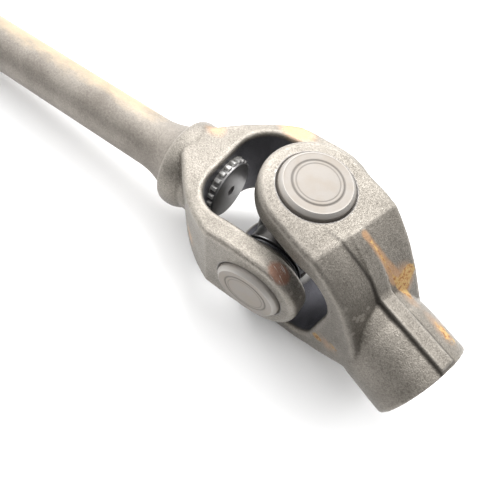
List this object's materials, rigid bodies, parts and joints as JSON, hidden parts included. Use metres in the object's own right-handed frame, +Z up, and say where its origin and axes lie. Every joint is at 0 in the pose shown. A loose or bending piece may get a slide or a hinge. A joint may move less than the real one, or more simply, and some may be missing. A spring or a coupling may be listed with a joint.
{
  "type": "rear drive shaft",
  "caption": "Steel drive shaft with a splined end, a needle-bearing universal joint and a splined socket yoke, lying bent as taken off.",
  "frame": {"origin": "centre of the socket's open end, on the socket's axis", "axes": "+X out of the socket's mouth along its axis, +Z up through the upper bearing cup, +Y to the side"},
  "size_m": [0.3272, 0.1191, 0.061],
  "materials": {
    "forged_steel": "bare forged skin, grainy, with light rust in its corners",
    "shaft_steel": "turned and weathered, pale with a faint yellow film",
    "cross_steel": "forged and ground, oily",
    "cup_steel": "satin, bright on its edges",
    "roller_steel": "ground bright",
    "seal_rubber": "black, oily",
    "spring_steel": "phosphated spring steel"
  },
  "bodies": {
    "shaft": {"drive_shaft": "shaft_steel", "shaft_yoke": "forged_steel", "bearing_cup_left": "cup_steel", "needle_rollers_left": "roller_steel", "thrust_washer_left": "roller_steel", "dust_seal_left": "seal_rubber", "snap_ring_left": "spring_steel", "bearing_cup_right": "cup_steel", "needle_rollers_right": "roller_steel", "thrust_washer_right": "roller_steel", "dust_seal_right": "seal_rubber", "snap_ring_right": "spring_steel"},
    "cross": {"cross": "cross_steel", "seal_retainer_top": "cup_steel", "seal_retainer_bottom": "cup_steel", "seal_retainer_left": "cup_steel", "seal_retainer_right": "cup_steel"},
    "socket": {"socket_yoke": "forged_steel", "bearing_cup_top": "cup_steel", "needle_rollers_top": "roller_steel", "thrust_washer_top": "roller_steel", "dust_seal_top": "seal_rubber", "snap_ring_top": "spring_steel", "bearing_cup_bottom": "cup_steel", "needle_rollers_bottom": "roller_steel", "thrust_washer_bottom": "roller_steel", "dust_seal_bottom": "seal_rubber", "snap_ring_bottom": "spring_steel"}
  },
  "joints": [
    {"name": "cross_in_shaft_yoke", "type": "hinge", "parent": "shaft", "child": "cross", "pos_m": [-0.0635, 0, 0], "axis": [-0.289, 0.9573, 0], "range_deg": [-32.5, 23.5]},
    {"name": "socket_yoke_on_cross", "type": "hinge", "parent": "cross", "child": "socket", "pos_m": [-0.0635, 0, 0], "axis": [0, 0, 1], "range_deg": [-11.2, 44.8]}
  ]
}
